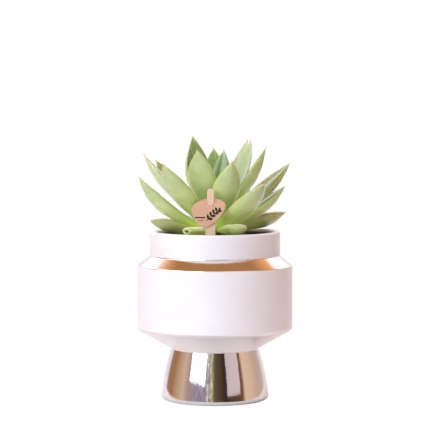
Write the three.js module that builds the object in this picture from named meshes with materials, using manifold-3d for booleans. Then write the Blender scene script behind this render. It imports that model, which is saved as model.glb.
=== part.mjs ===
// A potted echeveria: a footed ceramic pot, the plastic nursery pot that stands inside it, the soil,
// a short stem with its rosette of fleshy leaves, and a wooden pick threaded through a card label.
// Millimetres, +Z up. The origin is under the middle of the foot, on the surface that the pot stands on.
import * as THREE from "three";
import { mergeVertices } from "three/addons/utils/BufferGeometryUtils.js";
import Module from "manifold-3d";

const wasm = await Module();
wasm.setup();

// ---- Driving dimensions ---------------------------------------------------------------

// Ceramic pot, from the foot up
const FOOT_RADIUS = 43;
const WAIST_RADIUS = 35.5;
const BODY_RADIUS = 62.5;
const NECK_RADIUS = 52.5;
const FOOT_HEIGHT = 41.5;
const UNDERSIDE_RISE = 15.5;
const BODY_HEIGHT = 51.4;
const SHOULDER_RISE = 8;
const NECK_HEIGHT = 19.6;
const POT_WALL = 5;
const FOOT_RING_WIDTH = 7;
const FOOT_RECESS = 2.5;
const POT_FLOOR = 5;

// Roundings, each the distance from the corner to where its curve starts
const FOOT_EDGE = 4.5;
const BODY_LOWER_EDGE = 3.5;
const BODY_UPPER_EDGE = 2;
const LIP_EDGE = 1.8;
const SMALL_EDGE = 1;
const FOOT_BULGE = 2.4;
const FOOT_SOFTENING = 10;

// Nursery pot and soil
const NURSERY_WALL = 1;
const NURSERY_RIM_DROP = 2.5;
const NURSERY_RIM_WIDTH = 2.5;
const NURSERY_RIM_DEPTH = 8;
const NURSERY_SEAT = 2; // how far its base reaches out over the ceramic pot's slope
const DRAIN_HOLES = 6;
const DRAIN_HOLE_RADIUS = 4;
const DRAIN_HOLE_CIRCLE = 20; // radius of the circle that the holes lie on
const SOIL_DROP = 3;
const SOIL_MOUND = 2.5;

// Plant
const PLANT_X = -1;
const PLANT_Y = 2;
const STEM_BASE_RADIUS = 9;
const STEM_TIP_RADIUS = 2.4;
const STEM_DEPTH_IN_SOIL = 22;
const STEM_HEIGHT = 22;
const LOWEST_LEAF = 3.5;
const LEAF_CROWDING = 1.3; // 1 spaces the leaves evenly up the stem, more crowds them to its foot
const OLD_LEAF_THICKNESS = 0.5; // of the leaf's width
const YOUNG_LEAF_THICKNESS = 0.32;
const BLUNT_LEAVES = [0, 1, 4]; // short old leaves with round ends
const LEAF_BASE = 0.42; // width at the stem, of the leaf's width
const LEAF_UPPER_SHARE = 0.3; // of the thickness, above the leaf's edges

// Pick and label
const PICK_X = -3.6;
const PICK_INSET = 2.5; // from the nursery pot's wall at the pick's lower end
const PICK_TOP = 36; // above the lip
const PICK_IN_SOIL = 24;
const PICK_WIDTH = 8;
const PICK_NECK_WIDTH = 5.2;
const PICK_THICKNESS = 1.2;
const LABEL_WIDTH = 27;
const LABEL_HEIGHT = 22.7;
const LABEL_THICKNESS = 0.8;
const LABEL_TOP_BELOW_PICK = 8;
const LABEL_OFF_CENTRE = -1.6;
const LABEL_MARGIN = 1.5; // of card above the slot
const SLOT_HEIGHT = 4.4;

// Gaps between pieces that touch
const GAP = 0.35;

// Facets
const POT_SIDES = 48;
const SMALL_SIDES = 24;
const LEAF_SIDES = 8;
const LEAF_RINGS = 9;
const CORNER_STEPS = 3;
const LABEL_POINTS = 36;

// Leaves from the oldest at the bottom to the youngest in the heart: the way each points, its tilt
// above the horizontal, its length, its width, and how far its middle sags, in hundredths of its
// length. Azimuth 0 is +X and 270 is the front.
const LEAVES = [
  [207, 11, 48, 19, 0],
  [234, 4, 30, 13, 0],
  [100, 15, 50, 19, 3],
  [24, 14, 57, 22, -3],
  [306, 4, 31, 14, 0],
  [132, 15, 46, 19, 3],
  [358, 34, 59, 23, 2],
  [216, 33, 77, 23, 7],
  [306, 32, 70, 26, 2],
  [62, 30, 62, 21, 3],
  [108, 27, 60, 22, 3],
  [234, 40, 78, 25, 2],
  [9, 41, 73, 24, 1],
  [184, 48, 74, 23, 1],
  [288, 51, 64, 23, 3],
  [84, 45, 62, 22, 3],
  [140, 40, 73, 21, 2],
  [48, 61, 72, 24, 2],
  [334, 55, 70, 23, 2],
  [115, 61, 74, 20, 2],
  [249, 61, 62, 25, 3],
  [17, 66, 66, 18, 2],
  [90, 62, 60, 18, 2],
  [178, 75, 57, 19, 7],
  [67, 71, 53, 16, 2],
  [318, 74, 32, 14, 2],
  [215, 77, 36, 14, 2],
  [145, 74, 38, 14, 2],
  [30, 77, 30, 12, 2],
  [270, 80, 26, 10, 2],
  [110, 82, 24, 9, 2],
  [200, 84, 20, 8, 2],
];

// ---- Heights and radii that follow from them ------------------------------------------

const BODY_BOTTOM = FOOT_HEIGHT + UNDERSIDE_RISE;
const BODY_TOP = BODY_BOTTOM + BODY_HEIGHT;
const NECK_BOTTOM = BODY_TOP + SHOULDER_RISE;
const LIP = NECK_BOTTOM + NECK_HEIGHT;
const MOUTH_RADIUS = NECK_RADIUS - POT_WALL;
const NURSERY_RIM = LIP - NURSERY_RIM_DROP;
const NURSERY_RIM_RADIUS = MOUTH_RADIUS - 2 * GAP;
const NURSERY_MOUTH_RADIUS = NURSERY_RIM_RADIUS - NURSERY_RIM_WIDTH;
const SOIL_EDGE = NURSERY_RIM - SOIL_DROP;
const SOIL_TOP = SOIL_EDGE + SOIL_MOUND;

// ---- Making solids --------------------------------------------------------------------

// A closed three.js geometry as a manifold-3d solid.
function solidOf(geometry) {
  const bare = geometry.clone();
  bare.deleteAttribute("normal");
  bare.deleteAttribute("uv");
  const merged = mergeVertices(bare, 1e-4);
  return new wasm.Manifold(
    new wasm.Mesh({
      numProp: 3,
      vertProperties: merged.attributes.position.array,
      triVerts: new Uint32Array(merged.index.array),
    }),
  );
}

// A manifold-3d solid as a three.js geometry.
function geometryOf(solid) {
  const { vertProperties, triVerts, numProp, numVert } = solid.getMesh();
  const position = new Float32Array(numVert * 3);
  for (let i = 0; i < numVert; i++)
    position.set(vertProperties.subarray(i * numProp, i * numProp + 3), i * 3);
  const geometry = new THREE.BufferGeometry();
  geometry.setAttribute("position", new THREE.BufferAttribute(position, 3));
  geometry.setIndex(new THREE.BufferAttribute(triVerts, 1));
  const flat = geometry.toNonIndexed();
  flat.computeVertexNormals();
  return flat;
}

// The points of an outline through corners of [radius, height, rounding]. The first and last corners
// stay sharp.
function roundedOutline(corners) {
  const path = new THREE.Path();
  path.moveTo(corners[0][0], corners[0][1]);
  for (let i = 1; i < corners.length; i++) {
    const [radius, height, rounding = 0] = corners[i];
    const corner = new THREE.Vector2(radius, height);
    const next = corners[i + 1];
    if (!rounding || !next) {
      path.lineTo(radius, height);
      continue;
    }
    const [start, end] = [corners[i - 1], next].map(([otherRadius, otherHeight]) =>
      new THREE.Vector2(otherRadius, otherHeight).sub(corner).setLength(rounding).add(corner),
    );
    path.lineTo(start.x, start.y);
    path.quadraticCurveTo(corner.x, corner.y, end.x, end.y);
  }
  return path.getPoints(CORNER_STEPS);
}

// The corners of a wall's inner side: each corner moved inwards so that the wall keeps its thickness.
function innerCorners(corners, wall) {
  const inner = [];
  for (let i = 1; i < corners.length - 1; i++) {
    const [before, corner, after] = [corners[i - 1], corners[i], corners[i + 1]].map(
      ([radius, height]) => new THREE.Vector2(radius, height),
    );
    const along = corner.clone().sub(before).normalize();
    const onwards = after.clone().sub(corner).normalize();
    const inwards = new THREE.Vector2(-along.y - onwards.y, along.x + onwards.x).normalize();
    const reach = wall / Math.cos(Math.acos(THREE.MathUtils.clamp(along.dot(onwards), -1, 1)) / 2);
    inner.push([corner.x + inwards.x * reach, corner.y + inwards.y * reach]);
  }
  return inner;
}

// A solid of revolution about Z from the points of its outline.
function turned(points, sides) {
  return new THREE.LatheGeometry(points, sides).rotateX(Math.PI / 2);
}

// A round rod along Z, centred on the origin.
function rod(radius, length) {
  return new THREE.CylinderGeometry(radius, radius, length, SMALL_SIDES).rotateX(Math.PI / 2);
}

// A flat outline in X and Z, given thickness along Y and centred on Y 0.
function plate(shape, thickness) {
  const options = { depth: thickness, bevelEnabled: false, curveSegments: 8 };
  const extruded = new THREE.ExtrudeGeometry(shape, options);
  return extruded.rotateX(Math.PI / 2).translate(0, thickness / 2, 0);
}

function material(color, roughness, metalness = 0) {
  return new THREE.MeshStandardMaterial({ color, roughness, metalness });
}

function mesh(name, geometry, finish) {
  const made = new THREE.Mesh(geometry, finish);
  made.name = name;
  return made;
}

// ---- Ceramic pot ----------------------------------------------------------------------

const OUTER_CORNERS = [
  [FOOT_RADIUS, 0],
  [WAIST_RADIUS, FOOT_HEIGHT],
  [BODY_RADIUS, BODY_BOTTOM],
  [BODY_RADIUS, BODY_TOP],
  [NECK_RADIUS, NECK_BOTTOM],
  [NECK_RADIUS, LIP],
];
const [INNER_WAIST, INNER_BODY_BOTTOM, INNER_BODY_TOP, INNER_NECK] = innerCorners(
  OUTER_CORNERS,
  POT_WALL,
);

// The room round the pot's lip that leaves keep clear of.
function lipClearance() {
  const inside = MOUTH_RADIUS - GAP;
  const outside = NECK_RADIUS + GAP;
  const ring = [
    [inside, SOIL_TOP],
    [outside, SOIL_TOP],
    [outside, LIP + GAP],
    [inside, LIP + GAP],
    [inside, SOIL_TOP],
  ];
  return solidOf(turned(ring.map(([x, z]) => new THREE.Vector2(x, z)), POT_SIDES));
}

function ceramicPot() {
  const ringInside = FOOT_RADIUS - FOOT_EDGE - FOOT_RING_WIDTH;
  const floor = FOOT_RECESS + POT_FLOOR;
  const bulgeRadius = (FOOT_RADIUS + WAIST_RADIUS) / 2 + FOOT_BULGE;
  const corners = [
    [0, FOOT_RECESS],
    [ringInside - FOOT_RECESS, FOOT_RECESS, SMALL_EDGE],
    [ringInside, 0],
    [FOOT_RADIUS, 0, FOOT_EDGE],
    [bulgeRadius, FOOT_HEIGHT / 2 - FOOT_BULGE, FOOT_SOFTENING],
    [WAIST_RADIUS, FOOT_HEIGHT, SMALL_EDGE],
    [BODY_RADIUS, BODY_BOTTOM, BODY_LOWER_EDGE],
    [BODY_RADIUS, BODY_TOP, BODY_UPPER_EDGE],
    [NECK_RADIUS, NECK_BOTTOM, SMALL_EDGE],
    [NECK_RADIUS, LIP, LIP_EDGE],
    [MOUTH_RADIUS, LIP, LIP_EDGE],
    INNER_NECK,
    INNER_BODY_TOP,
    [...INNER_BODY_BOTTOM, BODY_LOWER_EDGE],
    INNER_WAIST,
    [FOOT_RADIUS - POT_WALL - FOOT_EDGE, floor, FOOT_EDGE],
    [0, floor],
  ];
  const body = turned(roundedOutline(corners), POT_SIDES);
  return mesh("ceramic_pot", body, material(0xf4f1f2, 0.35));
}

// ---- Nursery pot and soil -------------------------------------------------------------

// The nursery pot stands where its base meets the ceramic pot's sloping inside.
const SLOPE_RISE = INNER_BODY_BOTTOM[1] - INNER_WAIST[1];
const SLOPE = SLOPE_RISE / (INNER_BODY_BOTTOM[0] - INNER_WAIST[0]);
const NURSERY_BASE_RADIUS = INNER_WAIST[0] + NURSERY_SEAT;
const NURSERY_BASE = INNER_WAIST[1] + SLOPE * NURSERY_SEAT + GAP * Math.hypot(1, SLOPE);
const NURSERY_SHOULDER = NURSERY_RIM - NURSERY_RIM_DEPTH;

// The nursery pot's radius inside its wall, at a height.
function nurseryInside(height) {
  const share = (height - NURSERY_BASE - NURSERY_WALL) / (NURSERY_SHOULDER - NURSERY_BASE);
  return THREE.MathUtils.lerp(NURSERY_BASE_RADIUS - NURSERY_WALL, NURSERY_MOUTH_RADIUS, share);
}
const PICK_Y = PICK_INSET - nurseryInside(SOIL_TOP - PICK_IN_SOIL);

function nurseryPot() {
  const inside = NURSERY_MOUTH_RADIUS + NURSERY_WALL;
  const corners = [
    [0, NURSERY_BASE],
    [NURSERY_BASE_RADIUS, NURSERY_BASE],
    [inside, NURSERY_SHOULDER],
    [NURSERY_RIM_RADIUS, NURSERY_SHOULDER],
    [NURSERY_RIM_RADIUS, NURSERY_RIM],
    [NURSERY_RIM_RADIUS - NURSERY_WALL, NURSERY_RIM],
    [NURSERY_MOUTH_RADIUS, NURSERY_SHOULDER + NURSERY_WALL],
    [NURSERY_BASE_RADIUS - NURSERY_WALL, NURSERY_BASE + NURSERY_WALL],
    [0, NURSERY_BASE + NURSERY_WALL],
  ];
  let solid = solidOf(turned(roundedOutline(corners), POT_SIDES));
  for (let i = 0; i < DRAIN_HOLES; i++) {
    const angle = (i / DRAIN_HOLES) * 2 * Math.PI;
    const drill = rod(DRAIN_HOLE_RADIUS, 3 * NURSERY_WALL)
      .translate(DRAIN_HOLE_CIRCLE, 0, NURSERY_BASE)
      .rotateZ(angle);
    solid = solid.subtract(solidOf(drill));
  }
  return mesh("nursery_pot", geometryOf(solid), material(0x1b1a19, 0.6));
}

function soil() {
  const bottomRadius = NURSERY_BASE_RADIUS - NURSERY_WALL - GAP;
  const topRadius = NURSERY_MOUTH_RADIUS - GAP;
  const corners = [
    [0, NURSERY_BASE + NURSERY_WALL + GAP],
    [bottomRadius, NURSERY_BASE + NURSERY_WALL + GAP],
    [topRadius, NURSERY_SHOULDER],
    [topRadius, SOIL_EDGE, SMALL_EDGE],
    [0, SOIL_TOP],
  ];
  const block = solidOf(turned(roundedOutline(corners), POT_SIDES));
  const stemHole = rod(STEM_BASE_RADIUS + GAP, 2 * (STEM_DEPTH_IN_SOIL + GAP));
  const pickSlot = new THREE.BoxGeometry(
    PICK_WIDTH + 2 * GAP,
    PICK_THICKNESS + 2 * GAP,
    2 * (PICK_IN_SOIL + GAP),
  );
  const made = block
    .subtract(solidOf(stemHole.translate(PLANT_X, PLANT_Y, SOIL_TOP)))
    .subtract(solidOf(pickSlot.translate(PICK_X, PICK_Y, SOIL_TOP)));
  return mesh("soil", geometryOf(made), material(0x241a14, 0.95));
}

// ---- Stem and leaves ------------------------------------------------------------------

function stemRadius(height) {
  const share = THREE.MathUtils.clamp(height / STEM_HEIGHT, 0, 1);
  return THREE.MathUtils.lerp(STEM_BASE_RADIUS, STEM_TIP_RADIUS, share);
}

function stem() {
  const corners = [
    [0, -STEM_DEPTH_IN_SOIL],
    [STEM_BASE_RADIUS, -STEM_DEPTH_IN_SOIL, SMALL_EDGE],
    [STEM_BASE_RADIUS, 0],
    [STEM_TIP_RADIUS, STEM_HEIGHT, SMALL_EDGE],
    [0, STEM_HEIGHT],
  ];
  return mesh("stem", turned(roundedOutline(corners), SMALL_SIDES), material(0x8a9a5b, 0.7));
}

// A leaf's half width along its length, as shares of both.
const POINTED_OUTLINE = [
  [0.0, LEAF_BASE],
  [0.2, 0.64],
  [0.4, 0.9],
  [0.6, 1.0],
  [0.77, 0.82],
  [0.9, 0.42],
  [1.0, 0.0],
];
const BLUNT_OUTLINE = [
  [0.0, LEAF_BASE],
  [0.2, 0.66],
  [0.5, 0.92],
  [0.74, 1.0],
  [0.9, 0.84],
  [0.975, 0.5],
  [1.0, 0.0],
];

// One leaf along +X from its base at the origin, with its upper face towards +Z. The swelling is
// added all round.
function leafGeometry({ length, width, thickness, bend, blunt }, swelling) {
  const corners = blunt ? BLUNT_OUTLINE : POINTED_OUTLINE;
  const curve = new THREE.SplineCurve(corners.map((corner) => new THREE.Vector2(...corner)));
  const rings = curve.getPoints(LEAF_RINGS);
  const outline = rings.map(({ x, y }) => new THREE.Vector2(Math.max(y, 0), x));
  const geometry = new THREE.LatheGeometry([new THREE.Vector2(0, 0), ...outline], LEAF_SIDES);
  const position = geometry.attributes.position;
  for (let i = 0; i < position.count; i++) {
    const along = position.getY(i);
    const across = -position.getX(i) * (width / 2 + 2 * swelling);
    const above = position.getZ(i);
    const share = above > 0 ? LEAF_UPPER_SHARE : 1 - LEAF_UPPER_SHARE;
    const rise = above * (thickness * share + 2 * swelling);
    const sag = 4 * bend * length * along * (along - 1);
    position.setXYZ(i, along * (length + 2 * swelling) - swelling, across, rise + sag);
  }
  return geometry;
}

// The leaf's own place and form, from its row in the table and its age.
function leafForm(index) {
  const [azimuth, tilt, length, width, bend] = LEAVES[index];
  const age = index / (LEAVES.length - 1);
  const height = THREE.MathUtils.lerp(LOWEST_LEAF, STEM_HEIGHT, Math.pow(age, LEAF_CROWDING));
  const thickness = width * THREE.MathUtils.lerp(OLD_LEAF_THICKNESS, YOUNG_LEAF_THICKNESS, age);
  const sine = Math.sin(THREE.MathUtils.degToRad(tilt));
  const cosine = Math.cos(THREE.MathUtils.degToRad(tilt));
  const under = LEAF_BASE * (1 - LEAF_UPPER_SHARE) * thickness;
  const over = LEAF_BASE * LEAF_UPPER_SHARE * thickness;
  const out = stemRadius(height - under * cosine) + GAP + over * sine;
  const blunt = BLUNT_LEAVES.includes(index);
  return { azimuth, tilt, length, width, thickness, bend: bend / 100, blunt, height, out };
}

function leafSolid(form, swelling) {
  const geometry = leafGeometry(form, swelling)
    .rotateY(-THREE.MathUtils.degToRad(form.tilt))
    .translate(form.out, 0, form.height)
    .rotateZ(THREE.MathUtils.degToRad(form.azimuth));
  return solidOf(geometry);
}

// Each leaf is cut back where an older one is in its way, as leaves grow pressed together round a
// stem, and where the pick and its label stand.
function leaves() {
  const toPlant = [-PLANT_X, -PLANT_Y, -SOIL_TOP];
  const older = [pickClearance().translate(toPlant), lipClearance().translate(toPlant)];
  return LEAVES.map((row, index) => {
    const form = leafForm(index);
    let solid = leafSolid(form, 0);
    for (const other of older) {
      if (solid.intersect(other).isEmpty()) continue;
      const pieces = solid.subtract(other).decompose();
      solid = pieces.reduce((largest, piece) => (piece.volume() > largest.volume() ? piece : largest));
    }
    older.push(leafSolid(form, GAP));
    const name = "leaf_" + String(index + 1).padStart(2, "0");
    return mesh(name, geometryOf(solid), material(0x9dbb62, 0.45));
  });
}

function plant() {
  const made = new THREE.Group();
  made.position.set(PLANT_X, PLANT_Y, SOIL_TOP);
  made.add(stem(), ...leaves());
  return made;
}

// ---- Pick and label -------------------------------------------------------------------

const PICK_LENGTH = PICK_TOP + (LIP - SOIL_TOP) + PICK_IN_SOIL;
const SLOT_MIDDLE = -LABEL_TOP_BELOW_PICK - LABEL_MARGIN - SLOT_HEIGHT / 2;
const LABEL_CUT = 2 * (PICK_THICKNESS + 2 * LABEL_THICKNESS + 2 * GAP); // deeper than the stepped card

// Heights of the pick and label are below the pick's top.
function pick() {
  const wide = PICK_WIDTH / 2;
  const narrow = PICK_NECK_WIDTH / 2;
  const shoulder = SLOT_MIDDLE - SLOT_HEIGHT;
  const shape = new THREE.Shape();
  shape.moveTo(-wide, -PICK_LENGTH);
  shape.lineTo(wide, -PICK_LENGTH);
  shape.lineTo(wide, shoulder - (wide - narrow));
  shape.lineTo(narrow, shoulder);
  shape.lineTo(narrow, -narrow);
  shape.absarc(0, -narrow, narrow, 0, Math.PI, false);
  shape.lineTo(-narrow, shoulder);
  shape.lineTo(-wide, shoulder - (wide - narrow));
  return mesh("wooden_pick", plate(shape, PICK_THICKNESS), material(0xecccb0, 0.7));
}

// A soft triangle with its point down, grown by a margin, as points of the curve through its corners.
function labelOutline(margin = 0) {
  const halfWidth = LABEL_WIDTH / 2 + margin;
  const halfHeight = LABEL_HEIGHT / 2 + margin;
  const middle = -LABEL_TOP_BELOW_PICK - LABEL_HEIGHT / 2;
  const corners = [
    [-0.7, 0.72],
    [-0.05, 1.0],
    [0.7, 0.92],
    [1.0, 0.5],
    [0.75, -0.1],
    [0.25, -0.72],
    [-0.3, -1.0],
    [-0.72, -0.55],
    [-1.0, 0.2],
  ].map(([x, z]) => new THREE.Vector3(x * halfWidth, middle + z * halfHeight, 0));
  const curve = new THREE.CatmullRomCurve3(corners, true);
  return curve.getPoints(LABEL_POINTS).slice(0, -1).map(({ x, y }) => new THREE.Vector2(x, y));
}

// The card lies in front of the pick below the slot and behind it above, and steps back across the
// slot.
function label() {
  const reach = (PICK_THICKNESS + LABEL_THICKNESS) / 2 + GAP;
  const profile = [
    [-LABEL_HEIGHT, -reach],
    [-SLOT_HEIGHT / 2, -reach],
    [SLOT_HEIGHT / 2, reach],
    [LABEL_HEIGHT, reach],
  ];
  const face = (offset) => profile.map(([height, depth]) => new THREE.Vector2(height, depth + offset));
  const front = face(-LABEL_THICKNESS / 2);
  const back = face(LABEL_THICKNESS / 2).reverse();
  const options = { depth: 2 * LABEL_WIDTH, bevelEnabled: false };
  const sheet = new THREE.ExtrudeGeometry(new THREE.Shape([...front, ...back]), options)
    .translate(0, 0, -LABEL_WIDTH)
    .rotateY(-Math.PI / 2)
    .translate(0, 0, SLOT_MIDDLE);
  const slot = new THREE.BoxGeometry(PICK_NECK_WIDTH + 2 * GAP, LABEL_CUT, SLOT_HEIGHT)
    .translate(-LABEL_OFF_CENTRE, 0, SLOT_MIDDLE);
  const outline = plate(new THREE.Shape(labelOutline()), LABEL_CUT);
  const made = solidOf(sheet).intersect(solidOf(outline)).subtract(solidOf(slot));
  const card = mesh("card_label", geometryOf(made), material(0xe2b294, 0.85));
  return card.translateX(LABEL_OFF_CENTRE);
}

// The space that the pick and the label take, with the gap round them.
function pickClearance() {
  const label = new THREE.Shape(labelOutline(GAP));
  const depth = PICK_THICKNESS + 2 * LABEL_THICKNESS + 4 * GAP;
  const card = plate(label, depth).translate(LABEL_OFF_CENTRE, 0, 0);
  const stick = new THREE.BoxGeometry(
    PICK_WIDTH + 2 * GAP,
    PICK_THICKNESS + 2 * GAP,
    PICK_LENGTH + 2 * GAP,
  ).translate(0, 0, -PICK_LENGTH / 2);
  return solidOf(card).add(solidOf(stick)).translate([PICK_X, PICK_Y, LIP + PICK_TOP]);
}

function pickAndLabel() {
  const made = new THREE.Group();
  made.position.set(PICK_X, PICK_Y, LIP + PICK_TOP);
  made.add(pick(), label());
  return made;
}

// ---- The whole object -----------------------------------------------------------------

const pottedSucculent = new THREE.Group();
pottedSucculent.add(ceramicPot(), nurseryPot(), soil(), plant(), pickAndLabel());

export default pottedSucculent;
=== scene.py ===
"""Potted echeveria: the glazed and lustred pot, the nursery pot and soil inside it, the rosette of
leaves, the wooden pick with its card label, and a pale studio with lights and a camera."""

import math

import bmesh
import bpy
import numpy as np
from mathutils import Matrix, Vector, noise


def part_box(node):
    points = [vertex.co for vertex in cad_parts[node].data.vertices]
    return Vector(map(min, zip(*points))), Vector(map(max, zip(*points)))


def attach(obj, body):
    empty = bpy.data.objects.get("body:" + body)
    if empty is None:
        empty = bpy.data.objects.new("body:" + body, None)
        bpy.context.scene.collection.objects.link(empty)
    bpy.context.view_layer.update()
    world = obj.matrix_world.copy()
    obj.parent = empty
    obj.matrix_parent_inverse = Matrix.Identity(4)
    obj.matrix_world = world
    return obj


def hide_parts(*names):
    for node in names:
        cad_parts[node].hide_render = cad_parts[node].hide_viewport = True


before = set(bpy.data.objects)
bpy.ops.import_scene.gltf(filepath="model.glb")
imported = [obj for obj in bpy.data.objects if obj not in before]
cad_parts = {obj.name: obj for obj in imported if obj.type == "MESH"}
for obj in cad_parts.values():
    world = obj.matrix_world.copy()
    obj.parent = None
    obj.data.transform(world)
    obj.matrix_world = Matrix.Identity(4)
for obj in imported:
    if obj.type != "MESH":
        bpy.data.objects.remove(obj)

bl_info = {
    "name": "Potted Echeveria",
    "version": (1, 0, 0),
    "blender": (4, 5, 0),
    "location": "3D View > Sidebar > Echeveria",
    "description": "Builds a potted echeveria with its pot, soil, card label and studio",
    "category": "Object",
}

MM = 0.001
SEED = 7
POT_LOW, POT_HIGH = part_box("ceramic_pot")
SOIL_LOW, SOIL_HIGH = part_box("soil")
NURSERY_LOW, NURSERY_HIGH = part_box("nursery_pot")
STEM_LOW, STEM_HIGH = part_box("stem")
PICK_LOW, PICK_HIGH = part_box("wooden_pick")
LABEL_LOW, LABEL_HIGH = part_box("card_label")
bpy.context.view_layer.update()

# How far the foot has widened from the waist, at shares of its height from the bottom up
FOOT_FLARE = [(0.0, 1.03), (0.07, 1.0), (0.156, 0.95), (0.296, 0.845), (0.472, 0.69)]
FOOT_FLARE += [(0.65, 0.49), (0.827, 0.26), (1.0, 0.0)]
POT_SIDES = 192

# The nursery pot, which hangs by its rim
NURSERY_WALL = 1 * MM
NURSERY_RIM_DEPTH = 8 * MM
NURSERY_RIM_STEP = 2.5 * MM
NURSERY_FOOT_RADIUS = 33 * MM
DRAIN_CIRCLE_RADIUS = 20 * MM
DRAIN_HOLE_RADIUS = 4 * MM
DRAIN_HOLES = 6

# The soil, which is a little higher in the middle
SOIL_FOOT_RADIUS = 31.5 * MM
SOIL_DOME = 2.5 * MM
SOIL_SETTLED = 1 * MM  # the bed lies this far below the dome, and its crumbs fill that up

# The stem above and below the soil's top, in mm
STEM_BASE_RADIUS = 9
STEM_TOP_RADIUS = 2.4
STEM_HEIGHT = 22

# Leaves from the oldest at the bottom to the youngest in the heart: azimuth and tilt above the
# horizontal in degrees, length and width in mm, how far the middle sags in hundredths of the
# length, and roll about the leaf's own length in degrees. Azimuth 0 is +X and 270 is the front.
LEAVES = [
    *[(207, 11, 48, 17, 0, -4), (237, 2, 31, 14, 0, 0), (100, 15, 50, 19, 3, 0)],
    *[(24, 12, 57, 28, -4, 4), (306, 4, 31, 15, 0, 0), (132, 15, 46, 19, 3, 0)],
    *[(358, 34, 59, 23, 2, -4), (216, 33, 77, 21, 7, 4), (306, 32, 70, 26, 2, -6)],
    *[(62, 30, 62, 21, 3, 0), (108, 27, 60, 22, 3, 0), (234, 40, 78, 25, 2, 6)],
    *[(9, 41, 73, 24, 1, -16), (184, 48, 74, 22, 1, 2), (288, 51, 64, 23, 3, 4)],
    *[(84, 45, 62, 22, 3, 0), (140, 40, 73, 21, 2, 10), (48, 61, 72, 24, 2, 10)],
    *[(334, 55, 70, 23, 2, -14), (115, 61, 74, 20, 2, 8), (249, 61, 62, 25, 3, 5)],
    *[(17, 66, 66, 18, 2, -25), (90, 62, 60, 18, 2, 0), (178, 75, 57, 19, 7, 24)],
    *[(67, 71, 53, 16, 2, -8), (318, 74, 32, 14, 2, 0), (215, 77, 36, 14, 2, 0)],
    *[(145, 74, 38, 14, 2, 0), (30, 77, 30, 12, 2, 0), (270, 80, 26, 10, 2, 0)],
    *[(110, 82, 24, 9, 2, 0), (200, 84, 20, 8, 2, 0)],
]
# The kind of end of each that isn't pointed, by the leaf's number
LEAF_ENDS = {1: "tapered", 2: "cut", 5: "blunt"}

# A leaf's half width along its length, as shares of both
LEAF_OUTLINES = {
    "pointed": [(0, 0.42), (0.2, 0.64), (0.4, 0.9), (0.58, 1), (0.75, 0.81), (0.87, 0.475)]
    + [(0.94, 0.22), (0.972, 0.085), (1, 0.012)],
    "blunt": [(0, 0.42), (0.2, 0.66), (0.5, 0.92), (0.74, 1), (0.9, 0.82), (0.965, 0.52)]
    + [(0.992, 0.2), (1, 0.02)],
    "tapered": [(0, 0.42), (0.2, 0.7), (0.45, 0.98), (0.62, 1), (0.8, 0.8), (0.91, 0.5)]
    + [(0.97, 0.24), (1, 0.03)],
    "cut": [(0, 0.5), (0.2, 0.72), (0.5, 0.92), (0.7, 0.92), (0.86, 0.84), (0.94, 0.7), (1, 0.46)],
}
# How much of the colours' run from base to point a leaf of each kind shows
LEAF_COLOUR_RUN = {"pointed": 1.0, "blunt": 0.6, "tapered": 0.95, "cut": 0.5}
PALE_LEAVES = (14, 18, 22)  # numbers of those with a waxy bloom on their upper face as well
LEAF_THICKNESS = (0.5, 0.32)  # of the width, in the oldest and the youngest leaf
LEAF_UPPER_SHARE = 0.3  # of the thickness, above the leaf's edges
LEAF_BASE_SHARE = 0.42  # width at the stem, of the leaf's width
LEAF_LOWEST = 3.5  # height on the stem of the oldest leaf, in mm
LEAF_GAP = 0.35  # in mm, from the stem to a leaf's end before it is rooted
LEAF_ROOT = 1.5  # how far a leaf is rooted in the stem, in mm
LEAF_RINGS = 52
LEAF_SIDES = 40
# What the leaf's finish reads at each point: how far along the leaf, below (-1) or above (1),
# from the keel (0) to the edge (1), how olive or how pale the whole leaf is (its olive is part
# age and part painted shade), and how dry
LEAF_NUMBERS = ("leaf_along", "leaf_side", "leaf_edge", "leaf_tint", "leaf_dry")

# The label's outline as shares of its half width and half height
LABEL_CORNERS = [(-0.7, 0.72), (-0.05, 1.0), (0.7, 0.92), (1.0, 0.5), (0.75, -0.1)]
LABEL_CORNERS += [(0.25, -0.72), (-0.3, -1.0), (-0.72, -0.55), (-1.0, 0.2)]
LABEL_SLOT_HALF = 3 * MM
LABEL_SLOT_TOP = 2.2 * MM  # below the label's top
LABEL_SLOT_BOTTOM = 5.4 * MM
LABEL_BENDS = 46  # rows of points up the card, half a millimetre apart
PICK_TONGUE_HALF = 2.5 * MM  # the narrow end that passes through the slot
PICK_TONGUE = 16.1 * MM

# The print, in mm from the label's middle: the sprig's blades as the twig point that each grows
# from and its direction, and the rules as left, right, bottom and top
SPRIG_BLADES = [(1, 95), (1, 5), (3, 100), (3, 8), (5, 105), (5, 12), (7, 110), (7, 15), (8, 62)]
SPRIG_BLADE_SIZE = (4.0, 0.95)
SPRIG_END_BLADE_SIZE = (3.2, 0.8)
SPRIG_TWIG_HALF = 0.26
PRINT_RULES = [(-10.6, -2.6, -4.0, -3.0), (-8.6, -4.0, -6.0, -5.6)]

# The camera, in mm for the lens and metres for its distance and its aim above the floor
CAMERA_LENS = 161.2
CAMERA_DISTANCE = 1.554
CAMERA_DROP = 0.060  # looking down by this angle, in radians
CAMERA_AIM = 148.9 * MM

# The softboxes: degrees to the right of the camera and up, distance, width and height in metres,
# power in watts, colour, and whether the lustre mirrors it
SOFTBOXES = {
    "key_softbox": (-40.5, 28, 1.25, (0.80, 0.80), 9.8, "e2f5ff", True),
    "fill_softbox": (42, 22, 1.25, (0.68, 0.76), 1.05, "f0e2e6", True),
    "top_softbox": (180, 66, 1.1, (0.6, 0.6), 4.0, "fffdf8", False),
    "front_softbox": (4, 2, 1.5, (0.5, 0.5), 1.9, "f4f4ff", False),
}
SOFTBOX_AIM = 20 * MM

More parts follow.
